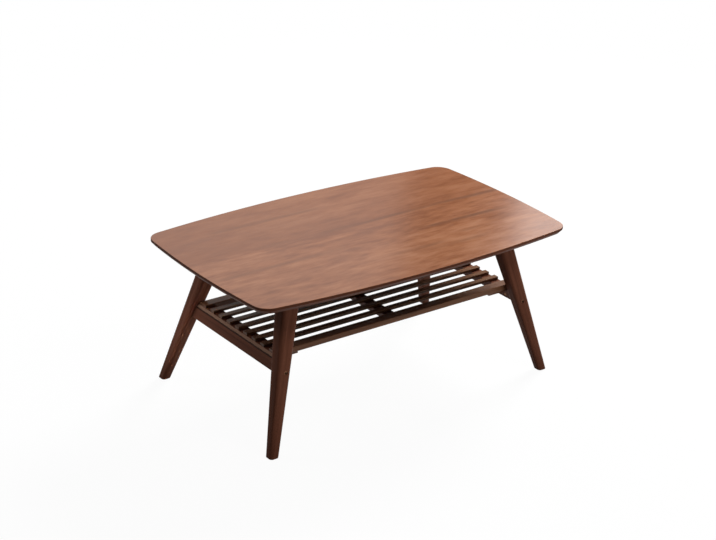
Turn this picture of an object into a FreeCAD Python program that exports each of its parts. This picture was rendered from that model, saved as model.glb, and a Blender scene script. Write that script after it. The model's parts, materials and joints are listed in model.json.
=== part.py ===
"""Low tea table: boat-shaped top, four splayed tapered legs, two end rails and a slatted shelf.

Millimetres. +X runs along the top, +Y points to the rear long side and +Z up.
The origin lies on the floor under the centre of the top.
Pieces that repeat at the corners are drawn at the right rear corner and mirrored.
"""
import FreeCAD, Part
import math
import os

V = FreeCAD.Vector
X_AXIS = V(1, 0, 0)
Y_AXIS = V(0, 1, 0)
Z_AXIS = V(0, 0, 1)

# Top: outline, lip and the bevel that runs under the lip
top_length = 900.0
top_width = 530.0
table_height = 372.0
top_thickness = 15.0
lip_height = 6.0
bevel_inset = 8.0
long_side_bow = 30.0
short_side_bow = 16.0
corner_radius = 40.0
top_edge_round = 1.2

# Legs: how far the centre lies in from the top's ends and sides, and the rounded-square section
leg_head_end_inset = 147.5
leg_head_side_inset = 125.0
leg_head_size = 46.0
leg_head_round = 12.0
leg_foot_end_inset = 52.5
leg_foot_side_inset = 38.5
leg_foot_size = 24.0
leg_foot_round = 8.0
foot_edge_round = 1.2

# End rails between the two legs of each end: they lean as the legs do, and thickness is measured level
rail_bottom = 173.6
rail_height = 34.0
rail_thickness = 16.3
rail_inset = 2.2
rail_chamfer = 4.8
rail_edge_round = 1.5

# Shelf
slat_count = 7
slat_width = 14.5
slat_thickness = 6.8
slat_edge_round = 1.0
slat_end_setback = 0.7
side_rail_width = 26.0
side_rail_thickness = 14.8
side_rail_round = 2.0
side_rail_under_round = 4.0
shelf_leg_clearance = 1.0
end_batten_width = 15.5
end_batten_height = 18.0
mid_batten_width = 29.0
mid_batten_height = 12.0
batten_edge_round = 1.5
tenon_thickness = 5.0
tenon_length = 12.0
tenon_margin = 3.0
corner_block_length = 54.0
corner_block_width = 18.0
corner_block_height = 5.0
corner_block_round = 1.5

# Steel plate on the head of each leg
plate_size = 72.0
plate_thickness = 3.0
plate_corner_round = 8.0
plate_hole_margin = 7.5
leg_screw_count = 3
leg_screw_circle = 16.0
leg_screw_offset = 6.0

# Rail bolt, barrel nut and dowel
bolt_diameter = 5.0
bolt_length = 60.0
bolt_head_diameter = 8.5
bolt_head_height = 5.0
bolt_socket_width = 4.0
bolt_socket_depth = 2.5
bolt_head_recess = 6.3
bolt_rise = 9.4
bolt_past_nut = 10.0
nut_diameter = 10.0
nut_end_margin = 1.5
dowel_diameter = 8.0
dowel_in_leg = 12.0
dowel_in_rail = 18.0
dowel_drop = 9.5

# Screws as diameter, length, head diameter, head height; and the slat pins
plate_screw = (4.0, 13.0, 8.0, 2.4)
leg_screw = (5.0, 35.0, 9.5, 2.6)
batten_screw = (4.0, 28.0, 8.0, 2.4)
block_screw = (3.5, 16.0, 7.0, 2.1)
batten_screw_count = 4
pin_diameter = 1.6
pin_length = 13.0
pin_sink = 0.8

# Foot glide
glide_diameter = 16.0
glide_height = 1.0
glide_round = 0.4
glide_nail_diameter = 2.5
glide_nail_length = 12.0

# Clearances
fit_gap = 0.05
hole_bottom_gap = 1.0
counterbore_gap = 0.25

# Levels and lines that follow from the sizes above
leg_head_x = top_length / 2 - leg_head_end_inset
leg_head_y = top_width / 2 - leg_head_side_inset
leg_foot_x = top_length / 2 - leg_foot_end_inset
leg_foot_y = top_width / 2 - leg_foot_side_inset
under_z = table_height - top_thickness
leg_head_z = under_z - plate_thickness
rail_top = rail_bottom + rail_height
shelf_top = rail_top + slat_thickness
side_rail_bottom = shelf_top - side_rail_thickness
bolt_z = rail_bottom + bolt_rise
dowel_z = rail_top - dowel_drop
nail_top = glide_height + glide_nail_length


def along_leg(at_floor, at_head, z):
    """Value at height z of a size that changes evenly from the floor to the underside."""
    return at_floor + (at_head - at_floor) * z / under_z


def leg_x(z):
    return along_leg(leg_foot_x, leg_head_x, z)


def leg_y(z):
    return along_leg(leg_foot_y, leg_head_y, z)


def leg_size(z):
    return along_leg(leg_foot_size, leg_head_size, z)


def rail_x(z):
    """Middle of the right end rail at height z."""
    return leg_x(z) - rail_inset


def rail_inner_x(z):
    return rail_x(z) - rail_thickness / 2


def rail_outer_x(z):
    return rail_x(z) + rail_thickness / 2


rail_across = V(1, 0, (leg_foot_x - leg_head_x) / under_z).normalize()
rail_stock = rail_thickness * rail_across.x
rail_chamfer_x = rail_outer_x(rail_top - rail_chamfer) - rail_chamfer
side_rail_outer_y = leg_y(shelf_top) - leg_size(shelf_top) / 2 - shelf_leg_clearance
side_rail_inner_y = side_rail_outer_y - side_rail_width
slat_gap = (2 * side_rail_inner_y - slat_count * slat_width) / (slat_count + 1)
slat_pitch = slat_width + slat_gap
slat_lines = [(i - (slat_count - 1) / 2) * slat_pitch for i in range(slat_count)]
slat_end_x = rail_chamfer_x - slat_end_setback
end_batten_inner_x = rail_inner_x(rail_top) - end_batten_width
end_batten_x = end_batten_inner_x + end_batten_width / 2
corner_block_y = (side_rail_inner_y + side_rail_outer_y) / 2
corner_block_inner_x = rail_inner_x(side_rail_bottom) - corner_block_length


def box(x0, x1, y0, y1, z0, z1):
    return Part.makeBox(x1 - x0, y1 - y0, z1 - z0, V(x0, y0, z0))


def rod(diameter, start, direction, length):
    return Part.makeCylinder(diameter / 2, length, start, direction)


def bore(diameter, start, direction, length):
    """Hole for a rod of this diameter, with the fit's gap all round."""
    return rod(diameter + 2 * fit_gap, start, direction, length)


def is_along(edge, axis):
    span = edge.lastVertex().Point - edge.firstVertex().Point
    return edge.Curve.TypeId == "Part::GeomLine" and span.cross(axis).Length < fit_gap


def round_along(solid, axis, radius, keep=lambda edge: True):
    """Round the straight edges that run along one axis."""
    edges = [e for e in solid.Edges if is_along(e, axis) and keep(e)]
    return solid.makeFillet(radius, edges)


def edges_at(solid, z):
    return [e for e in solid.Edges if abs(e.BoundBox.ZMin - z) < fit_gap and e.BoundBox.ZLength < fit_gap]


def mirrored(shape, sx, sy):
    """Shape drawn at the right rear corner, moved to the corner with these signs."""
    if sx < 0:
        shape = shape.mirror(V(), X_AXIS)
    if sy < 0:
        shape = shape.mirror(V(), Y_AXIS)
    return shape


def at_corners(shape):
    return [mirrored(shape, sx, sy) for sx in (-1, 1) for sy in (-1, 1)]


def at_ends(shape):
    return [mirrored(shape, sx, 1) for sx in (-1, 1)]


def screw(sizes, head_centre, direction):
    """Countersunk screw: flat head at head_centre, pointed shank along direction."""
    diameter, length, head_diameter, head_height = sizes
    shank_r = diameter / 2
    profile = [V(), V(head_diameter / 2, 0, 0), V(shank_r, 0, head_height)]
    profile += [V(shank_r, 0, length - diameter), V(0, 0, length), V()]
    solid = Part.Face(Part.makePolygon(profile)).revolve(V(), Z_AXIS, 360)
    solid.Placement = FreeCAD.Placement(head_centre, FreeCAD.Rotation(Z_AXIS, direction))
    return solid


def screw_hole(sizes, head_centre, direction):
    """Countersink and bore for a screw, a gap wider than the screw all round."""
    diameter, length, head_diameter, head_height = sizes
    radii = (head_diameter / 2 + fit_gap, diameter / 2 + fit_gap)
    sink = Part.makeCone(*radii, head_height, head_centre, direction)
    return sink.fuse(bore(diameter, head_centre, direction, length + hole_bottom_gap))


def top_blank(inset, low, high):
    """Boat-shaped slab: the room that four large discs share, with round corners."""
    def disc_pair(half_span, half_rise, bow, across):
        radius = (half_span ** 2 + bow ** 2) / (2 * bow)
        centres = [across * (s * (half_rise - radius)) + Z_AXIS * low for s in (-1, 1)]
        discs = [Part.makeCylinder(radius - inset, high - low, c) for c in centres]
        return discs[0].common(discs[1])

    long_sides = disc_pair(top_length / 2, top_width / 2, long_side_bow, Y_AXIS)
    short_sides = disc_pair(top_width / 2, top_length / 2, short_side_bow, X_AXIS)
    slab = long_sides.common(short_sides)
    return round_along(slab, Z_AXIS, corner_radius - inset)


def level_face(solid, z):
    return [f for f in solid.Faces if abs(f.BoundBox.ZMax - z) + abs(f.BoundBox.ZMin - z) < fit_gap][0]


def make_top():
    """Top with an upright lip and, below it, a bevel back to a smaller underside."""
    lip_z = table_height - lip_height
    slab = top_blank(0, lip_z, table_height)
    foot = top_blank(bevel_inset, under_z, lip_z)
    wires = [level_face(foot, under_z).OuterWire, level_face(slab, lip_z).OuterWire]
    slab = slab.fuse(Part.makeLoft(wires, True, True)).removeSplitter()
    slab = slab.makeFillet(top_edge_round, edges_at(slab, table_height))
    cuts = []
    for point in plate_hole_points():
        cuts += at_corners(screw_hole(plate_screw, point, Z_AXIS))
    return slab.cut(Part.makeCompound(cuts))


def rounded_square(cx, cy, z, size, radius):
    """Wire of a square with round corners, drawn level at height z."""
    reach = size / 2 - radius
    arcs = []
    for turn in range(4):
        a = math.pi / 2 * turn
        diagonal = V(math.cos(a + math.pi / 4), math.sin(a + math.pi / 4), 0) * math.sqrt(2)
        corner = V(cx, cy, z) + diagonal * reach
        circle = Part.Circle(corner, Z_AXIS, radius)
        arcs.append(Part.ArcOfCircle(circle, a, a + math.pi / 2).toShape())
    edges = []
    for this, following in zip(arcs, arcs[1:] + arcs[:1]):
        edges += [this, Part.makeLine(this.lastVertex().Point, following.firstVertex().Point)]
    return Part.Wire(edges)


def leg_blank():
    """Leg at the right rear corner before drilling, splayed and tapered along its length."""
    wires = []
    for z in (glide_height, leg_head_z):
        radius = along_leg(leg_foot_round, leg_head_round, z)
        wires.append(rounded_square(leg_x(z), leg_y(z), z, leg_size(z), radius))
    solid = Part.makeLoft(wires, True, True)
    return solid.makeFillet(foot_edge_round, edges_at(solid, glide_height))


def bolt_seat():
    """Point where the bolt's head bears, below the leg's outer face."""
    return V(rail_x(bolt_z), leg_y(bolt_z) + leg_size(bolt_z) / 2 - bolt_head_recess, bolt_z)


def nut_centre():
    return bolt_seat() - Y_AXIS * (bolt_length - bolt_past_nut)


def dowel_start():
    return V(rail_x(dowel_z), leg_y(dowel_z) - leg_size(dowel_z) / 2 + dowel_in_leg, dowel_z)


def plate_hole_points():
    reach = plate_size / 2 - plate_hole_margin
    centre = V(leg_head_x, leg_head_y, leg_head_z)
    return [centre + V(sx, sy, 0) * reach for sx in (-1, 1) for sy in (-1, 1)]


def leg_screw_points():
    """Ring of screws into the leg's head, moved outwards the way the leg leans."""
    lean = V(leg_foot_x - leg_head_x, leg_foot_y - leg_head_y, 0).normalize()
    ring_centre = V(leg_head_x, leg_head_y, under_z) + lean * leg_screw_offset
    first = math.atan2(lean.y, lean.x)
    angles = [first + 2 * math.pi * i / leg_screw_count for i in range(leg_screw_count)]
    return [ring_centre + V(math.cos(a), math.sin(a), 0) * (leg_screw_circle / 2) for a in angles]


def make_leg():
    solid = leg_blank()
    seat = bolt_seat()
    dowel_hole = bore(dowel_diameter, dowel_start() + Y_AXIS * hole_bottom_gap, -Y_AXIS, dowel_in_leg * 2)
    cuts = [
        bore(bolt_diameter, seat, -Y_AXIS, bolt_length),
        rod(bolt_head_diameter + 2 * counterbore_gap, seat, Y_AXIS, leg_foot_y),
        dowel_hole,
        bore(glide_nail_diameter, V(leg_foot_x, leg_foot_y, 0), Z_AXIS, nail_top + hole_bottom_gap),
    ]
    cuts += [screw_hole(leg_screw, point, -Z_AXIS) for point in leg_screw_points()]
    return solid.cut(Part.makeCompound(cuts))


def make_plate():
    """Plate between the leg's head and the top, countersunk on both sides."""
    corner = V(leg_head_x - plate_size / 2, leg_head_y - plate_size / 2, leg_head_z)
    solid = Part.makeBox(plate_size, plate_size, plate_thickness, corner)
    solid = round_along(solid, Z_AXIS, plate_corner_round)
    cuts = [screw_hole(plate_screw, point, Z_AXIS) for point in plate_hole_points()]
    cuts += [screw_hole(leg_screw, point, -Z_AXIS) for point in leg_screw_points()]
    return solid.cut(Part.makeCompound(cuts))


def bar_along_y(section, reach):
    """Bar from -reach to reach in Y, with corners given as (x, z) pairs."""
    corners = [V(x, -reach, z) for x, z in section]
    return Part.Face(Part.makePolygon(corners + corners[:1])).extrude(Y_AXIS * (2 * reach))


def round_below(bar, radius, level):
    """Round the edges along Y that lie at this lowest level."""
    return round_along(bar, Y_AXIS, radius, lambda e: e.BoundBox.ZMax < level + fit_gap)


def rail_blank():
    """Right end rail before its ends are cut: leaning faces, level edges, a chamfer outside the slats."""
    chamfer_z = rail_top - rail_chamfer
    section = [
        (rail_inner_x(rail_bottom), rail_bottom),
        (rail_outer_x(rail_bottom), rail_bottom),
        (rail_outer_x(chamfer_z), chamfer_z),
        (rail_chamfer_x, rail_top),
        (rail_inner_x(rail_top), rail_top),
    ]
    return round_below(bar_along_y(section, leg_y(rail_bottom)), rail_edge_round, rail_bottom)


def make_end_rail():
    """Right end rail: its ends are cut to the lean of the legs' inner faces."""
    nut_start = nut_centre() - rail_across * (rail_stock / 2)
    half_cuts = [
        leg_blank(),
        bore(bolt_diameter, bolt_seat(), -Y_AXIS, bolt_length + hole_bottom_gap),
        bore(nut_diameter, nut_start, rail_across, rail_stock - nut_end_margin),
        bore(dowel_diameter, dowel_start(), -Y_AXIS, dowel_in_leg + dowel_in_rail + hole_bottom_gap),
    ]
    cuts = [mirrored(cut, 1, sy) for cut in half_cuts for sy in (-1, 1)]
    cuts += [screw_hole(batten_screw, point, X_AXIS) for point in batten_screw_points()]
    return rail_blank().cut(Part.makeCompound(cuts))


def make_bolt():
    """Socket-head bolt, its head inwards of the leg's outer face."""
    seat = bolt_seat()
    head = rod(bolt_head_diameter, seat, Y_AXIS, bolt_head_height)
    shank = rod(bolt_diameter, seat, -Y_AXIS, bolt_length)
    corner_r = bolt_socket_width / math.sqrt(3)
    rim = seat + Y_AXIS * (bolt_head_height - bolt_socket_depth)
    angles = [math.pi / 3 * i for i in range(7)]
    hexagon = Part.makePolygon([rim + V(math.cos(a), 0, math.sin(a)) * corner_r for a in angles])
    socket = Part.Face(hexagon).extrude(Y_AXIS * bolt_socket_depth)
    return head.fuse(shank).cut(socket).removeSplitter()


def make_nut():
    length = rail_stock - 2 * nut_end_margin
    solid = rod(nut_diameter, nut_centre() - rail_across * (length / 2), rail_across, length)
    return solid.cut(bore(bolt_diameter, bolt_seat(), -Y_AXIS, bolt_length + hole_bottom_gap))


def make_dowel():
    return rod(dowel_diameter, dowel_start(), -Y_AXIS, dowel_in_leg + dowel_in_rail)


def make_glide():
    """Domed disc with a nail, under the foot."""
    disc = rod(glide_diameter, V(leg_foot_x, leg_foot_y, 0), Z_AXIS, glide_height)
    disc = disc.makeFillet(glide_round, edges_at(disc, 0))
    nail = rod(glide_nail_diameter, V(leg_foot_x, leg_foot_y, glide_height), Z_AXIS, glide_nail_length)
    return disc.fuse(nail)


def pin_points(y):
    """Tops of the pins that hold the slat on this line, one over each batten."""
    return [V(x, y, shelf_top - pin_sink) for x in (-end_batten_x, 0, end_batten_x)]


def pin_bores(points):
    return [bore(pin_diameter, p + Z_AXIS * pin_sink, -Z_AXIS, pin_length + pin_sink) for p in points]


def batten_screw_points():
    """Screws through the end batten, spread over the gaps between the slats."""
    level = rail_top - end_batten_height / 2
    start = V(end_batten_inner_x, slat_gap / 2 - side_rail_inner_y, level)
    gaps = [round(i * slat_count / (batten_screw_count - 1)) for i in range(batten_screw_count)]
    return [start + Y_AXIS * (gap * slat_pitch) for gap in gaps]


def block_screw_points():
    """Two screws up through each corner block into the side rail, clear of the batten's tenon."""
    clear_length = end_batten_inner_x - corner_block_inner_x
    middle = end_batten_inner_x - clear_length / 2
    level = side_rail_bottom - corner_block_height
    return [V(middle + s * clear_length / 4, corner_block_y, level) for s in (-1, 1)]


def make_slat(y):
    half = slat_width / 2
    solid = box(-slat_end_x, slat_end_x, y - half, y + half, rail_top, shelf_top)
    solid = round_along(solid, X_AXIS, slat_edge_round)
    return solid.cut(Part.makeCompound(pin_bores(pin_points(y))))


def tenon(x, width, gap):
    """Stub on a batten's rear end, or with a gap the mortise that takes it."""
    half = width / 2 - tenon_margin + gap
    middle = (side_rail_bottom + rail_top) / 2
    low = middle - tenon_thickness / 2 - gap
    high = middle + tenon_thickness / 2 + gap
    return box(x - half, x + half, 0, side_rail_inner_y + tenon_length + gap, low, high)


def end_batten_blank():
    """Right end batten: level under the slats, bevelled to the lean of the end rail beside it."""
    low = rail_top - end_batten_height
    section = [
        (end_batten_inner_x, low),
        (rail_inner_x(low), low),
        (rail_inner_x(rail_top), rail_top),
        (end_batten_inner_x, rail_top),
    ]
    return round_below(bar_along_y(section, side_rail_inner_y), batten_edge_round, low)


def mid_batten_blank():
    half = mid_batten_width / 2
    low = rail_top - mid_batten_height
    section = [(-half, low), (half, low), (half, rail_top), (-half, rail_top)]
    return round_below(bar_along_y(section, side_rail_inner_y), batten_edge_round, low)


def make_batten(blank, x, width, side_cuts):
    """Batten under the slats, with a stub tenon in each side rail."""
    stub = tenon(x, width, 0)
    solid = blank.fuse([stub, stub.mirror(V(), Y_AXIS)]).removeSplitter()
    top_of_pins = [V(x, y, shelf_top - pin_sink) for y in slat_lines]
    return solid.cut(Part.makeCompound(pin_bores(top_of_pins) + side_cuts))


def make_side_rail():
    """Rear long bar of the shelf, rounder below on its outer side and halved over the end rails."""
    def is_outer_underside(edge):
        limits = edge.BoundBox
        return limits.ZMax < side_rail_bottom + fit_gap and limits.YMin > side_rail_outer_y - fit_gap

    solid = box(-slat_end_x, slat_end_x, side_rail_inner_y, side_rail_outer_y, side_rail_bottom, shelf_top)
    other_edges = [e for e in solid.Edges if is_along(e, X_AXIS) and not is_outer_underside(e)]
    solid = solid.makeFillet(side_rail_round, other_edges)
    solid = round_along(solid, X_AXIS, side_rail_under_round, is_outer_underside)
    cuts = at_ends(rail_blank()) + at_ends(tenon(end_batten_x, end_batten_width, fit_gap))
    cuts.append(tenon(0, mid_batten_width, fit_gap))
    for point in block_screw_points():
        cuts += at_ends(screw_hole(block_screw, point, Z_AXIS))
    return solid.cut(Part.makeCompound(cuts))


def make_corner_block():
    """Block under the end of a side rail, butted on the leaning face of the end rail."""
    low = side_rail_bottom - corner_block_height
    section = [
        (corner_block_inner_x, low),
        (rail_inner_x(low), low),
        (rail_inner_x(side_rail_bottom), side_rail_bottom),
        (corner_block_inner_x, side_rail_bottom),
    ]
    solid = bar_along_y(section, corner_block_width / 2)
    solid.translate(Y_AXIS * corner_block_y)
    inner_end = corner_block_inner_x + fit_gap
    solid = round_along(solid, Z_AXIS, corner_block_round, lambda e: e.BoundBox.XMax < inner_end)
    cuts = [screw_hole(block_screw, point, Z_AXIS) for point in block_screw_points()]
    return solid.cut(Part.makeCompound(cuts))


def make_nodes():
    """Every piece of the table by name; like fasteners share a name."""
    nodes = {"table_top": make_top()}
    leg = make_leg()
    plate = make_plate()
    corners = {"front_left": (-1, -1), "front_right": (1, -1), "rear_left": (-1, 1), "rear_right": (1, 1)}
    for place, signs in corners.items():
        nodes["leg_" + place] = mirrored(leg, *signs)
        nodes["leg_plate_" + place] = mirrored(plate, *signs)
    end_rail = make_end_rail()
    rail_cuts = [screw_hole(batten_screw, point, X_AXIS) for point in batten_screw_points()]
    end_batten = make_batten(end_batten_blank(), end_batten_x, end_batten_width, rail_cuts)
    for place, sign in {"left": -1, "right": 1}.items():
        nodes["end_rail_" + place] = mirrored(end_rail, sign, 1)
        nodes["shelf_batten_" + place] = mirrored(end_batten, sign, 1)
    nodes["shelf_batten_middle"] = make_batten(mid_batten_blank(), 0, mid_batten_width, [])
    side_rail = make_side_rail()
    nodes["shelf_front_rail"] = mirrored(side_rail, 1, -1)
    nodes["shelf_rear_rail"] = side_rail
    for number, y in enumerate(slat_lines, 1):
        nodes["shelf_slat_%d" % number] = make_slat(y)

    pins = [rod(pin_diameter, p, -Z_AXIS, pin_length) for y in slat_lines for p in pin_points(y)]
    plate_screws = [screw(plate_screw, p, Z_AXIS) for p in plate_hole_points()]
    leg_screws = [screw(leg_screw, p, -Z_AXIS) for p in leg_screw_points()]
    batten_screws = [screw(batten_screw, p, X_AXIS) for p in batten_screw_points()]
    block_screws = [screw(block_screw, p, Z_AXIS) for p in block_screw_points()]
    groups = {
        "shelf_corner_blocks": at_corners(make_corner_block()),
        "rail_bolts": at_corners(make_bolt()),
        "rail_barrel_nuts": at_corners(make_nut()),
        "rail_dowels": at_corners(make_dowel()),
        "foot_glides": at_corners(make_glide()),
        "slat_pins": pins,
        "plate_screws": [one for s in plate_screws for one in at_corners(s)],
        "leg_head_screws": [one for s in leg_screws for one in at_corners(s)],
        "batten_screws": [one for s in batten_screws for one in at_ends(s)],
        "block_screws": [one for s in block_screws for one in at_corners(s)],
    }
    nodes.update({name: Part.makeCompound(solids) for name, solids in groups.items()})
    return nodes


os.makedirs("parts", exist_ok=True)
for name, shape in make_nodes().items():
    shape.exportStep("parts/%s.step" % name)
    print(name, len(shape.Solids), round(shape.Volume), shape.isValid())
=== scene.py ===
"""Low tea table with a slatted shelf: finishes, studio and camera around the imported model.

Metres. +X runs along the top, +Y to the far long side, +Z up; the floor is at zero.
"""
import json
import math
from typing import NamedTuple

import bpy
import numpy as np
from mathutils import Matrix, Vector


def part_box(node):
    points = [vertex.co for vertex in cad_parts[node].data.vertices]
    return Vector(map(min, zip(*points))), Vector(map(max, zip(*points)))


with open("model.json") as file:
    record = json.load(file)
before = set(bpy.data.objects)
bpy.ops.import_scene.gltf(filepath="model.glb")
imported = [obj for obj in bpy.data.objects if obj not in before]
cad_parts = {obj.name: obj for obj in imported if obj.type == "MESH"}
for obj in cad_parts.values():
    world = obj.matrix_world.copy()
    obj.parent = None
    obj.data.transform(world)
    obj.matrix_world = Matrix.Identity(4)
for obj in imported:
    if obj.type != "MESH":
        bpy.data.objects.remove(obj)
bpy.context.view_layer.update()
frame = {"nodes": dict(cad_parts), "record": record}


class Figure(NamedTuple):
    """A noise in a finish, with so many waves a metre along the grain, across it and into the piece.

    A rise keeps only the noise's peaks. tone, relief and dull are its shares in the colour's tone,
    in the height of the bump and in the roughness.
    """

    waves: tuple
    detail: float = 3.0
    roughness: float = 0.5
    rise: tuple = ()
    tone: float = 0.0
    relief: float = 0.0
    dull: float = 0.0


# Places on the table, from the frame; the rear right leg stands for all four
TOP_LOW, TOP_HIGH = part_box("table_top")
MOUNTS = {mount["name"]: Vector(mount["pos_m"]) for mount in frame["record"]["mounts"]}
LEG_FOOT = MOUNTS["foot_rear_right"]
LEG_HEAD = sum(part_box("leg_plate_rear_right"), Vector()) / 2
LEG_RUN = (LEG_FOOT - LEG_HEAD) / TOP_LOW.z
RAIL_CHAMFER = 0.0048
RAIL_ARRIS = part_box("end_rail_right")[1].z - RAIL_CHAMFER

# Linear colours
WHITE = (1.0, 1.0, 1.0, 1.0)
WALNUT_PALE = (0.405, 0.166, 0.077, 1.0)
WALNUT_MID = (0.325, 0.118, 0.048, 1.0)
WALNUT_DEEP = (0.232, 0.075, 0.027, 1.0)
WALNUT_STREAK = (0.150, 0.052, 0.021, 1.0)
TOP_EDGE_PALE = (0.135, 0.046, 0.024, 1.0)
TOP_EDGE_DEEP = (0.085, 0.028, 0.015, 1.0)
STAIN_PALE = (0.260, 0.105, 0.064, 1.0)
STAIN_MID = (0.170, 0.062, 0.036, 1.0)
STAIN_DEEP = (0.095, 0.032, 0.018, 1.0)
# Painted highlight colour of the end rails' up-facing chamfer
CHAMFER_HIGHLIGHT = (0.450, 0.270, 0.190, 1.0)
# Colour of the dark line just below the end rails' arris
ARRIS_LINE_DARK = (0.035, 0.013, 0.007, 1.0)
SLAT_PALE = (0.330, 0.170, 0.095, 1.0)
SLAT_MID = (0.205, 0.100, 0.054, 1.0)
SLAT_DEEP = (0.100, 0.045, 0.024, 1.0)
SHELF_RAIL_PALE = (0.300, 0.140, 0.075, 1.0)
SHELF_RAIL_MID = (0.200, 0.090, 0.047, 1.0)
SHELF_RAIL_DEEP = (0.110, 0.045, 0.023, 1.0)
BEECH_PALE = (0.60, 0.42, 0.25, 1.0)
BEECH_DEEP = (0.46, 0.29, 0.15, 1.0)
ZINC_PALE = (0.66, 0.66, 0.64, 1.0)
ZINC_DEEP = (0.48, 0.49, 0.49, 1.0)
BRONZE_PALE = (0.230, 0.112, 0.060, 1.0)
BRONZE_DEEP = (0.115, 0.053, 0.029, 1.0)
BRONZE_WORN = (0.340, 0.205, 0.135, 1.0)
GLIDE_PALE = (0.110, 0.072, 0.052, 1.0)
GLIDE_DEEP = (0.075, 0.048, 0.034, 1.0)
FLOOR_SEEN = (0.95, 0.95, 0.95, 1.0)
FLOOR_CLOTH = (0.17, 0.165, 0.16, 1.0)

# Each finish's tones from deep to pale, and where in its figure each next tone comes in
WALNUT_TONES = (WALNUT_DEEP, WALNUT_MID, WALNUT_PALE)
WALNUT_RISES = ((0.38, 0.52), (0.48, 0.62))
TOP_EDGE_TONES = (TOP_EDGE_DEEP, TOP_EDGE_PALE)
TOP_EDGE_RISES = ((0.36, 0.62),)
STAIN_TONES = (STAIN_DEEP, STAIN_MID, STAIN_PALE)
SLAT_TONES = (SLAT_DEEP, SLAT_MID, SLAT_PALE)
SHELF_RAIL_TONES = (SHELF_RAIL_DEEP, SHELF_RAIL_MID, SHELF_RAIL_PALE)
WOOD_RISES = ((0.28, 0.54), (0.50, 0.76))
BEECH_TONES = (BEECH_DEEP, BEECH_PALE)
ZINC_TONES = (ZINC_DEEP, ZINC_PALE)
BRONZE_TONES = (BRONZE_DEEP, BRONZE_PALE)
PLAIN_RISES = ((0.35, 0.65),)

# All finishes
NOISE_MIDDLE = 0.5
USUAL_GLOSS = 0.5
EDGE_SAMPLES = 6
EDGE_TURN = (0.01, 0.16)

# Walnut top
TOP_SWAY = Figure((2.6, 4.0, 1.0), detail=2.0)
TOP_BANDS = Figure((1.6, 13.0, 4.0), roughness=0.55, tone=0.32)
TOP_MOTTLE = Figure((10.0, 48.0, 20.0), detail=4.0, roughness=0.62, tone=0.34, relief=0.3, dull=0.17)
TOP_BLOTCH = Figure((17.0, 62.0, 20.0), roughness=0.55, tone=0.28)
TOP_FINE = Figure((26.0, 420.0, 90.0), roughness=0.6, tone=0.06, relief=0.4)
TOP_PORES = Figure((48.0, 1100.0, 300.0), detail=2.0, rise=(0.62, 0.74), relief=-0.5, dull=0.06)
TOP_FIGURES = (TOP_BANDS, TOP_MOTTLE, TOP_BLOTCH, TOP_FINE, TOP_PORES)
TOP_SWAY_REACH = 0.022
TOP_PORE_DEPTH = 0.12
TOP_SMOOTH = 0.09
TOP_GLOSS = 0.4
TOP_BUMP = {"Strength": 0.05, "Distance": 0.0003}
TOP_EDGE_SLOPE = (0.55, 0.97)
TOP_EDGE_SMOOTH = 0.42
TOP_EDGE_DULL = 0.14
TOP_EDGE_GLOSS = 0.05
# The rear leaf of veneer is deeper, most of all at its left end
LEAF_EDGE = (0.030, 0.044)
LEAF_ALONG = (-0.35, 0.15)
LEAF_DEPTH_LEFT = 0.56
LEAF_DEPTH_RIGHT = 0.32
# Dark streaks: place across the top, start and end along it, depth
STREAKS = (
    (0.168, -0.34, 0.03, 0.45),
    (0.037, -0.30, -0.14, 0.50),
    (0.037, -0.12, 0.50, 0.72),
    (-0.062, -0.48, -0.06, 0.50),
    (-0.062, 0.10, 0.42, 0.85),
    (-0.122, 0.16, 0.32, 0.45),
    (-0.148, -0.06, 0.16, 0.50),
    (-0.168, 0.02, 0.27, 0.45),
)
STREAK_FADE = 0.07
STREAK_SIDE = (0.001, 0.012)
STREAK_SWAY_REACH = 0.014
STREAK_RISE = (0.38, 0.62)
STREAK_LEAST = 0.35

# Dark stained wood of the legs, rails and shelf
WOOD_SWAY = Figure((5.0, 9.0, 9.0), detail=2.0)
WOOD_BANDS = Figure((2.0, 60.0, 60.0), roughness=0.55, tone=0.6, dull=0.12)
WOOD_STREAKS = Figure((7.0, 260.0, 260.0), detail=4.0, roughness=0.6, tone=0.4, relief=0.6)
WOOD_PORES = Figure((40.0, 1400.0, 1400.0), detail=2.0, rise=(0.60, 0.72), relief=-0.6, dull=0.10)
WOOD_SWAY_REACH = 0.006
WOOD_PORE_DEPTH = 0.45
WOOD_EDGE_RADIUS = 0.0015
# Edges of stained wood turn paler: part wear, part painted highlight
WOOD_EDGE_WEAR_AND_HIGHLIGHT = 0.25
WOOD_BUMP = {"Strength": 0.14, "Distance": 0.0004}
LEG_LOT_ALONG = 1.7
LEG_LOT_ACROSS = 3.1
# Painted shade at the legs' feet: how high above the floor it reaches, and how deep it goes
FOOT_SHADE_HEIGHT = 0.08
FOOT_SHADE_DEPTH = 0.6
# Dark line just below the end rails' arris: its height under the arris, fade and depth
ARRIS_LINE_HEIGHT = 0.0044
ARRIS_LINE_FADE = 0.0012
ARRIS_LINE_DEPTH = 0.95
ARRIS_FADE = 0.0002
CHAMFER_SLOPE = (0.45, 0.95)
CHAMFER_SLOPE_FADE = 0.10
# Painted highlight on the chamfer: its least share and its share from the grain
CHAMFER_HIGHLIGHT_LEAST = 0.6
CHAMFER_HIGHLIGHT_GRAIN = 0.5

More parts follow.
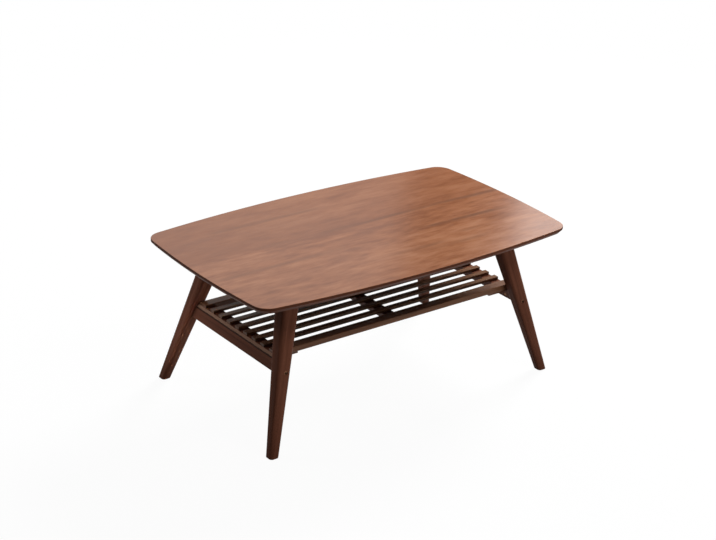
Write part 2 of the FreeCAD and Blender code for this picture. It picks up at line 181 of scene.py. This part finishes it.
# Dowels, steel and glides
BEECH_FLECK = Figure((500.0, 60.0, 500.0), tone=1.0, relief=1.0, dull=0.15)
BEECH_SMOOTH = 0.62
BEECH_BUMP = {"Strength": 0.2, "Distance": 0.0003}
PLATE_CLOUD = Figure((90.0, 90.0, 90.0), detail=4.0, tone=0.7, dull=0.16)
PLATE_LINES = Figure((300.0, 2600.0, 2600.0), detail=2.0, tone=0.3, relief=1.0)
PLATE_EDGE_RADIUS = 0.0006
PLATE_EDGE_WEAR = 0.5
PLATE_BUMP = {"Strength": 0.12, "Distance": 0.0002}
GLIDE_GRAIN = Figure((1500.0, 1500.0, 1500.0), relief=1.0)
GLIDE_SCUFF = Figure((160.0, 160.0, 160.0), detail=4.0, rise=(0.48, 0.70), tone=1.0, dull=0.2)
GLIDE_SMOOTH = 0.52
GLIDE_BUMP = {"Strength": 0.2, "Distance": 0.0002}

# Floor and world
FLOOR_RADIUS = 6.0
FLOOR_RINGS = 6
FLOOR_PARTS = 64
PAPER_SHARE = 0.955
SHADOW_REACH = (0.9, 3.0)
WORLD_LIGHT = 0.05

# What the lacquer mirrors
SHEEN_FROM = (0.395, -0.100)
SHEEN_DISTANCE = 5.0
SHEEN_WIDTH = 1.3
SHEEN_HEIGHT = 3.0
SHEEN_WATTS = 18.0
FLAG_HALF_WIDTH = 0.29
FLAG_LEVEL = 0.14
REAR_SPOT = (0.0, 0.13)
REAR_HALF_WIDTH = 1.2
REAR_HALF_HEIGHT = 0.9
REAR_LEVEL = 0.6

# Picture
PICTURE_WIDTH = 716
SENSOR_WIDTH = 36.0
FOCAL_PIXELS = 1798.66
FAR_CLIP = 60.0
CAMERA_AT = Vector((-2.3813, -3.0469, 1.9977))
CAMERA_RIGHT = Vector((0.7983, -0.6010, 0.0389))
CAMERA_UP = Vector((0.2169, 0.3472, 0.9124))


class Value:
    """A number that varies over a surface; arithmetic on it adds Math nodes."""

    def __init__(self, finish, socket):
        self.finish = finish
        self.socket = socket

    def output(self, name):
        """Another output of the same node."""
        return Value(self.finish, self.socket.node.outputs[name])

    def math(self, operation, *others, swap=False):
        terms = [self, *others]
        if swap:
            terms.reverse()
        return self.finish.node("ShaderNodeMath", {"operation": operation}, dict(enumerate(terms)))

    def __add__(self, other):
        return self.math("ADD", other)

    def __sub__(self, other):
        return self.math("SUBTRACT", other)

    def __rsub__(self, other):
        return self.math("SUBTRACT", other, swap=True)

    def __mul__(self, other):
        return self.math("MULTIPLY", other)

    def __abs__(self):
        return self.math("ABSOLUTE")

    __radd__ = __add__
    __rmul__ = __mul__

    def sign(self):
        return self.math("SIGN")

    def step(self, low, high):
        """Smooth rise from 0 at low to 1 at high."""
        sockets = {"Value": self, "From Min": low, "From Max": high}
        return self.finish.node("ShaderNodeMapRange", {"interpolation_type": "SMOOTHSTEP"}, sockets)

    def between(self, start, end, fade):
        """1 from start to end and 0 outside, with a smooth fade inside both."""
        return self.step(start, start + fade) * (1.0 - self.step(end - fade, end))


class Finish:
    """A material's or a world's nodes. node() adds any node from its type, settings and socket values."""

    # Sockets of a Mix node that mixes colours
    MIX_FACTOR = 0
    MIX_FIRST = 6
    MIX_SECOND = 7
    MIX_RESULT = 2

    def __init__(self, owner):
        owner.use_nodes = True
        owner.node_tree.nodes.clear()
        self.owner = owner
        self.tree = owner.node_tree

    def node(self, kind, settings=None, sockets=None, output=0):
        node = self.tree.nodes.new(kind)
        for key, setting in (settings or {}).items():
            setattr(node, key, setting)
        for key, value in (sockets or {}).items():
            if isinstance(value, Value):
                self.tree.links.new(value.socket, node.inputs[key])
            else:
                node.inputs[key].default_value = value
        return Value(self, node.outputs[output]) if node.outputs else None

    def place(self):
        """Object coordinates as three numbers."""
        spot = self.node("ShaderNodeTexCoord", output="Object")
        x = self.node("ShaderNodeSeparateXYZ", sockets={"Vector": spot}, output="X")
        return x, x.output("Y"), x.output("Z")

    def noise(self, figure, along, across, into, lot=0.0):
        """A figure's noise over three lengths; each lot of wood has another part of it."""
        waves_along, waves_across, waves_into = figure.waves
        lengths = {"X": along * waves_along, "Y": across * waves_across + lot, "Z": into * waves_into}
        spot = self.node("ShaderNodeCombineXYZ", sockets=lengths)
        look = {"Scale": 1.0, "Detail": figure.detail, "Roughness": figure.roughness}
        noise = self.node("ShaderNodeTexNoise", sockets={"Vector": spot, **look})
        return noise.step(*figure.rise) if figure.rise else noise

    def blend(self, factor, first, second):
        """Colour that goes from first to second as the factor goes from 0 to 1."""
        settings = {"data_type": "RGBA", "clamp_factor": True}
        sockets = {self.MIX_FACTOR: factor, self.MIX_FIRST: first, self.MIX_SECOND: second}
        return self.node("ShaderNodeMix", settings, sockets, output=self.MIX_RESULT)

    def toned(self, tone, tones, rises):
        """The deepest of the tones, with each paler one coming in over its own rise of the tone's number."""
        colour = tones[0]
        for paler, rise in zip(tones[1:], rises):
            colour = self.blend(tone.step(*rise), colour, paler)
        return colour

    def edges(self, radius):
        """Rises towards 1 on edges: how far a rounded normal turns from the true one."""
        rounded = self.node("ShaderNodeBevel", {"samples": EDGE_SAMPLES}, {"Radius": radius})
        true = self.node("ShaderNodeNewGeometry", output="Normal")
        settings = {"operation": "DOT_PRODUCT"}
        dot = self.node("ShaderNodeVectorMath", settings, {0: rounded, 1: true}, output="Value")
        return (1.0 - dot).step(*EDGE_TURN)

    def upward(self):
        """Height of the surface's normal: 1 on level faces, 0 on upright ones."""
        normal = self.node("ShaderNodeNewGeometry", output="Normal")
        return self.node("ShaderNodeSeparateXYZ", sockets={"Vector": normal}, output="Z")

    def seen(self):
        """1 for rays that show a surface, straight, mirrored or through glass, and 0 for its light."""
        straight = self.node("ShaderNodeLightPath", output="Is Camera Ray")
        rays = straight + straight.output("Is Glossy Ray") + straight.output("Is Transmission Ray")
        return rays.math("MINIMUM", 1.0)

    def bump(self, height, look):
        """Normal that leans with a height; look gives the bump's strength and distance."""
        return self.node("ShaderNodeBump", sockets={"Height": height, **look})

    def skin(self, colour, rough, relief, gloss=USUAL_GLOSS, metal=0.0):
        """Principled shader with a bump's relief."""
        look = {"Base Color": colour, "Roughness": rough, "Normal": relief}
        plain = {"Specular IOR Level": gloss, "Metallic": metal}
        return self.node("ShaderNodeBsdfPrincipled", sockets={**look, **plain})

    def finished(self, shader, output="ShaderNodeOutputMaterial"):
        """The material or world, with this shader as its surface."""
        self.node(output, sockets={"Surface": shader})
        return self.owner


def shares(noises, effect):
    """Sum of the noises, each times its figure's share in the effect: tone, relief or dull."""
    terms = [noise * getattr(figure, effect) for figure, noise in noises.items() if getattr(figure, effect)]
    return sum(terms[1:], terms[0])


def walnut_top():
    """Satin walnut laid along X: soft mottle, a few long dark streaks, fine pores and dark edges."""
    f = Finish(bpy.data.materials.new("walnut_top"))
    x, y, z = f.place()
    sway = f.noise(TOP_SWAY, x, y, z) - NOISE_MIDDLE
    across = y + sway * TOP_SWAY_REACH
    noises = {figure: f.noise(figure, x, across, z) for figure in TOP_FIGURES}
    mottle = noises[TOP_MOTTLE]
    tone = shares(noises, "tone")
    colour = f.toned(tone, WALNUT_TONES, WALNUT_RISES)
    leaf_depth = LEAF_DEPTH_LEFT + (LEAF_DEPTH_RIGHT - LEAF_DEPTH_LEFT) * x.step(*LEAF_ALONG)
    colour = f.blend(y.step(*LEAF_EDGE) * leaf_depth, colour, WALNUT_DEEP)
    ragged = STREAK_LEAST + (1.0 - STREAK_LEAST) * mottle.step(*STREAK_RISE)
    for line, start, end, depth in STREAKS:
        near = 1.0 - abs(y + sway * STREAK_SWAY_REACH - line).step(*STREAK_SIDE)
        run = x.between(start, end, STREAK_FADE)
        colour = f.blend(near * run * ragged * depth, colour, WALNUT_STREAK)
    colour = f.blend(noises[TOP_PORES] * TOP_PORE_DEPTH, colour, WALNUT_STREAK)
    relief = f.bump(shares(noises, "relief"), TOP_BUMP)
    face = f.skin(colour, TOP_SMOOTH + shares(noises, "dull"), relief, TOP_GLOSS)
    edge_colour = f.toned(tone, TOP_EDGE_TONES, TOP_EDGE_RISES)
    edge = f.skin(edge_colour, TOP_EDGE_SMOOTH + mottle * TOP_EDGE_DULL, relief, TOP_EDGE_GLOSS)
    rim = 1.0 - f.upward().step(*TOP_EDGE_SLOPE)
    return f.finished(f.node("ShaderNodeMixShader", sockets={0: rim, 1: face, 2: edge}))


def stained_grain(f, tones, along, across, into, lot):
    """Colour and noises of dark stained wood: bands and streaks along the grain, pores, and edges paler from
    wear and a painted highlight.
    """
    sway = f.noise(WOOD_SWAY, along, across, into, lot) - NOISE_MIDDLE
    across = across + sway * WOOD_SWAY_REACH
    noises = {figure: f.noise(figure, along, across, into, lot) for figure in (WOOD_BANDS, WOOD_STREAKS)}
    noises[WOOD_PORES] = f.noise(WOOD_PORES, along, across, into)
    colour = f.toned(shares(noises, "tone"), tones, WOOD_RISES)
    colour = f.blend(noises[WOOD_PORES] * WOOD_PORE_DEPTH, colour, tones[0])
    # Paler edges: part wear, part painted highlight
    colour = f.blend(f.edges(WOOD_EDGE_RADIUS) * WOOD_EDGE_WEAR_AND_HIGHLIGHT, colour, tones[-1])
    return colour, noises


def lacquered(f, colour, noises, smooth, gloss):
    """Dark wood of this colour under lacquer, its pores open; smooth is its least roughness."""
    relief = f.bump(shares(noises, "relief"), WOOD_BUMP)
    return f.finished(f.skin(colour, smooth + shares(noises, "dull"), relief, gloss))


def leg_wood(smooth, gloss):
    """Dark wood whose grain follows each leg's lean, from a lot of its own, with painted shade darkening it
    near the floor at the feet.
    """
    f = Finish(bpy.data.materials.new("leg_wood"))
    x, y, z = f.place()
    lot = x.sign() * LEG_LOT_ALONG + y.sign() * LEG_LOT_ACROSS
    across = abs(x) - LEG_FOOT.x + z * LEG_RUN.x
    into = abs(y) - LEG_FOOT.y + z * LEG_RUN.y
    colour, noises = stained_grain(f, STAIN_TONES, z + lot, across, into, lot)
    # Painted shade: the legs are darkened near the floor
    foot_shade = (1.0 - z.step(0.0, FOOT_SHADE_HEIGHT)) * FOOT_SHADE_DEPTH
    return lacquered(f, f.blend(foot_shade, colour, STAIN_DEEP), noises, smooth, gloss)


def end_rail_wood(lot, smooth, gloss):
    """Dark wood along Y; the chamfer carries a painted highlight, and a dark line runs just below its arris.
    """
    f = Finish(bpy.data.materials.new("end_rail_wood"))
    x, y, z = f.place()
    colour, noises = stained_grain(f, STAIN_TONES, y, x, z, lot)
    # A dark line just below the chamfer's arris
    line = RAIL_ARRIS - ARRIS_LINE_HEIGHT
    below = 1.0 - z.step(RAIL_ARRIS - ARRIS_FADE, RAIL_ARRIS + ARRIS_FADE)
    colour = f.blend(z.step(line, line + ARRIS_LINE_FADE) * below * ARRIS_LINE_DEPTH, colour, ARRIS_LINE_DARK)
    # Painted highlight: the up-facing chamfer is made paler, as if it caught more light
    chamfer = f.upward().between(*CHAMFER_SLOPE, CHAMFER_SLOPE_FADE)
    chamfer_highlight = CHAMFER_HIGHLIGHT_LEAST + noises[WOOD_STREAKS] * CHAMFER_HIGHLIGHT_GRAIN
    return lacquered(f, f.blend(chamfer * chamfer_highlight, colour, CHAMFER_HIGHLIGHT), noises, smooth, gloss)


def shelf_wood(name, tones, crosswise, lot, smooth, gloss):
    """Dark wood of the shelf, with its grain along X or, crosswise, along Y."""
    f = Finish(bpy.data.materials.new(name))
    x, y, z = f.place()
    along, across = (y, x) if crosswise else (x, y)
    colour, noises = stained_grain(f, tones, along, across, z, lot)
    return lacquered(f, colour, noises, smooth, gloss)


def beech_dowel():
    """Pale plain hardwood with flecks along Y."""
    f = Finish(bpy.data.materials.new("beech_dowel"))
    noises = {BEECH_FLECK: f.noise(BEECH_FLECK, *f.place())}
    colour = f.toned(shares(noises, "tone"), BEECH_TONES, PLAIN_RISES)
    relief = f.bump(shares(noises, "relief"), BEECH_BUMP)
    return f.finished(f.skin(colour, BEECH_SMOOTH + shares(noises, "dull"), relief))


def plated_steel(name, tones, worn, smooth):
    """Plated steel: cloudy plating, fine turning marks and worn edges."""
    f = Finish(bpy.data.materials.new(name))
    place = f.place()
    noises = {figure: f.noise(figure, *place) for figure in (PLATE_CLOUD, PLATE_LINES)}
    colour = f.toned(shares(noises, "tone"), tones, PLAIN_RISES)
    colour = f.blend(f.edges(PLATE_EDGE_RADIUS) * PLATE_EDGE_WEAR, colour, worn)
    relief = f.bump(shares(noises, "relief"), PLATE_BUMP)
    return f.finished(f.skin(colour, smooth + shares(noises, "dull"), relief, metal=1.0))


def glide_plastic():
    """Brown moulded plastic with a light grain, scuffed paler in places."""
    f = Finish(bpy.data.materials.new("glide_plastic"))
    place = f.place()
    noises = {figure: f.noise(figure, *place) for figure in (GLIDE_GRAIN, GLIDE_SCUFF)}
    colour = f.blend(shares(noises, "tone"), GLIDE_DEEP, GLIDE_PALE)
    relief = f.bump(shares(noises, "relief"), GLIDE_BUMP)
    return f.finished(f.skin(colour, GLIDE_SMOOTH + shares(noises, "dull"), relief))


def dress_nodes():
    """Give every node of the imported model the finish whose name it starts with; the rest are zinc."""
    zinc = plated_steel("zinc_steel", ZINC_TONES, worn=ZINC_PALE, smooth=0.26)
    bronze = plated_steel("bronzed_steel", BRONZE_TONES, worn=BRONZE_WORN, smooth=0.34)
    slat = shelf_wood("shelf_slat_wood", SLAT_TONES, crosswise=False, lot=5.2, smooth=0.10, gloss=0.07)
    rail = shelf_wood("shelf_rail_wood", SHELF_RAIL_TONES, crosswise=False, lot=8.9, smooth=0.15, gloss=0.10)
    batten = shelf_wood("shelf_batten_wood", STAIN_TONES, crosswise=True, lot=4.4, smooth=0.25, gloss=0.10)
    finishes = {
        "table_top": walnut_top(),
        "leg_plate": zinc,
        "leg_head_screws": zinc,
        "leg": leg_wood(smooth=0.40, gloss=0.04),
        "end_rail": end_rail_wood(lot=1.3, smooth=0.40, gloss=0.05),
        "shelf_slat": slat,
        "shelf_batten": batten,
        "shelf": rail,
        "rail_bolts": bronze,
        "rail_barrel_nuts": bronze,
        "rail_dowels": beech_dowel(),
        "foot_glides": glide_plastic(),
    }
    for name, piece in frame["nodes"].items():
        finish = next((finish for start, finish in finishes.items() if name.startswith(start)), zinc)
        piece.data.materials.clear()
        piece.data.materials.append(finish)


def stage_piece(name, points, faces, finish):
    """A piece of the studio, which isn't part of the table."""
    mesh = bpy.data.meshes.new(name)
    mesh.from_pydata(points.tolist(), [], faces.tolist())
    mesh.materials.append(finish)
    piece = bpy.data.objects.new(name, mesh)
    bpy.context.collection.objects.link(piece)
    return piece


def studio_floor():
    """Round floor: x = r cos a and y = r sin a on rings of r from 0 to the radius, a round a full turn."""
    radius = np.linspace(0.0, FLOOR_RADIUS, FLOOR_RINGS + 1)[:, None]
    angle = np.linspace(0.0, 2 * math.pi, FLOOR_PARTS, endpoint=False)[None, :]
    level = np.zeros((FLOOR_RINGS + 1, FLOOR_PARTS))
    points = np.stack([radius * np.cos(angle), radius * np.sin(angle), level], -1)
    ring, part = np.meshgrid(np.arange(FLOOR_RINGS), np.arange(FLOOR_PARTS), indexing="ij")
    inner = ring * FLOOR_PARTS
    outer = inner + FLOOR_PARTS
    after = (part + 1) % FLOOR_PARTS
    quads = np.stack([inner + part, outer + part, outer + after, inner + after], -1)
    stage_piece("floor", points.reshape(-1, 3), quads.reshape(-1, 4), floor_white())


def floor_white():
    """White floor: the camera sees it nearly as white paper, with a trace of the table's shadow."""
    f = Finish(bpy.data.materials.new("floor_white"))
    seen = f.seen()
    cloth = f.node("ShaderNodeBsdfDiffuse", sockets={"Color": f.blend(seen, FLOOR_CLOTH, FLOOR_SEEN)})
    paper = f.node("ShaderNodeEmission", sockets={"Color": WHITE, "Strength": 1.0})
    spot = f.node("ShaderNodeTexCoord", output="Object")
    away = f.node("ShaderNodeVectorMath", {"operation": "LENGTH"}, {0: spot}, output="Value")
    share = PAPER_SHARE + (1.0 - PAPER_SHARE) * away.step(*SHADOW_REACH)
    return f.finished(f.node("ShaderNodeMixShader", sockets={0: seen * share, 1: cloth, 2: paper}))


def studio_world():
    """White to the camera and in reflections, a faint grey as light."""
    f = Finish(bpy.data.worlds.new("studio"))
    strength = WORLD_LIGHT + (1.0 - WORLD_LIGHT) * f.seen()
    back = f.node("ShaderNodeBackground", sockets={"Color": WHITE, "Strength": strength})
    bpy.context.scene.world = f.finished(back, "ShaderNodeOutputWorld")


def soft_lamp(name, at, towards, size, watts, spread=180.0, mirrored=False):
    """Area lamp with a spread in degrees; only a mirrored one shows in lacquer and metal."""
    lamp = bpy.data.lights.new(name, "AREA")
    lamp.shape = "RECTANGLE"
    lamp.size, lamp.size_y = size
    lamp.energy = watts
    lamp.spread = math.radians(spread)
    piece = bpy.data.objects.new(name, lamp)
    piece.location = at
    piece.rotation_euler = (Vector(towards) - Vector(at)).to_track_quat("-Z", "Y").to_euler()
    piece.visible_glossy = mirrored
    bpy.context.collection.objects.link(piece)


def studio_lamps():
    """A key from the right rear, level and high fills from the front, a fill and a spot from the left."""
    soft_lamp("key_lamp", at=(3.6, 1.6, 2.75), towards=(0.0, 0.0, 0.25), size=(1.7, 1.7), watts=321.0)
    soft_lamp("front_fill", at=(0.6, -3.5, 0.30), towards=(0.0, 0.0, 0.2), size=(1.6, 0.4), watts=28.0)
    soft_lamp("high_fill", at=(0.6, -2.4, 3.7), towards=(0.0, 0.0, 0.2), size=(1.6, 1.0), watts=38.0)
    soft_lamp("left_fill", at=(-1.7, 1.5, 1.6), towards=(-0.33, 0.0, 0.2), size=(0.7, 0.7), watts=11.5)
    soft_lamp("left_spot", at=(-2.0, -1.6, 0.50), towards=(-0.372, 0.19, 0.13), size=(0.12, 0.12),
              watts=0.042, spread=8.5)


def mirrored_in_top(spot):
    """Point that the camera sees mirrored in the level top at this spot, at the sheen lamp's distance."""
    on_top = Vector((*spot, TOP_HIGH.z))
    ray = on_top - CAMERA_AT
    ray.z = -ray.z
    return on_top + ray.normalized() * SHEEN_DISTANCE


def grey_card(name, centre, side, half_width, half_height, level):
    """Upright card that only shows mirrored: centre + u half_width side + v half_height up, u and v +-1."""
    across = np.array(side) * half_width
    up = np.array((0.0, 0.0, half_height))
    u, v = np.meshgrid([-1.0, 1.0], [-1.0, 1.0])
    points = np.array(centre) + u.reshape(-1, 1) * across + v.reshape(-1, 1) * up
    f = Finish(bpy.data.materials.new(name))
    glow = f.finished(f.node("ShaderNodeEmission", sockets={"Strength": level}))
    card = stage_piece(name, points, np.array([(0, 1, 3, 2)]), glow)
    card.visible_camera = False
    card.visible_diffuse = False
    card.visible_shadow = False


def lacquer_mirrors():
    """What the top mirrors to the camera, side by side: a grey card, a dark flag and a lamp on the right.

    The lamp's left edge is mirrored where the top's bright corner begins.
    """
    corner = Vector((*SHEEN_FROM, TOP_HIGH.z))
    lamp_edge = mirrored_in_top(SHEEN_FROM)
    ray = lamp_edge - corner
    side = Vector((ray.y, -ray.x, 0.0)).normalized()
    flag_at = lamp_edge - side * FLAG_HALF_WIDTH
    grey_card("dark_flag", flag_at, side, FLAG_HALF_WIDTH, SHEEN_HEIGHT / 2, FLAG_LEVEL)
    card_at = flag_at - side * (FLAG_HALF_WIDTH + REAR_HALF_WIDTH)
    card_at.z = mirrored_in_top(REAR_SPOT).z - REAR_HALF_HEIGHT
    grey_card("rear_card", card_at, side, REAR_HALF_WIDTH, REAR_HALF_HEIGHT, REAR_LEVEL)
    lamp_at = lamp_edge + side * (SHEEN_WIDTH / 2)
    soft_lamp("sheen_lamp", lamp_at, corner, (SHEEN_WIDTH, SHEEN_HEIGHT), SHEEN_WATTS, mirrored=True)


def photo_camera():
    """Camera at the photograph's place, with its roll."""
    right = CAMERA_RIGHT.normalized()
    up = (CAMERA_UP - right * CAMERA_UP.dot(right)).normalized()
    back = right.cross(up)
    lens = bpy.data.cameras.new("photo_camera")
    lens.sensor_fit = "HORIZONTAL"
    lens.sensor_width = SENSOR_WIDTH
    lens.lens = FOCAL_PIXELS * SENSOR_WIDTH / PICTURE_WIDTH
    lens.clip_end = FAR_CLIP
    piece = bpy.data.objects.new("photo_camera", lens)
    turn = Matrix((right, up, back)).transposed().to_4x4()
    piece.matrix_world = Matrix.Translation(CAMERA_AT) @ turn
    bpy.context.collection.objects.link(piece)
    bpy.context.scene.camera = piece


dress_nodes()
studio_floor()
studio_world()
studio_lamps()
lacquer_mirrors()
photo_camera()
bpy.context.scene.view_settings.view_transform = "Standard"
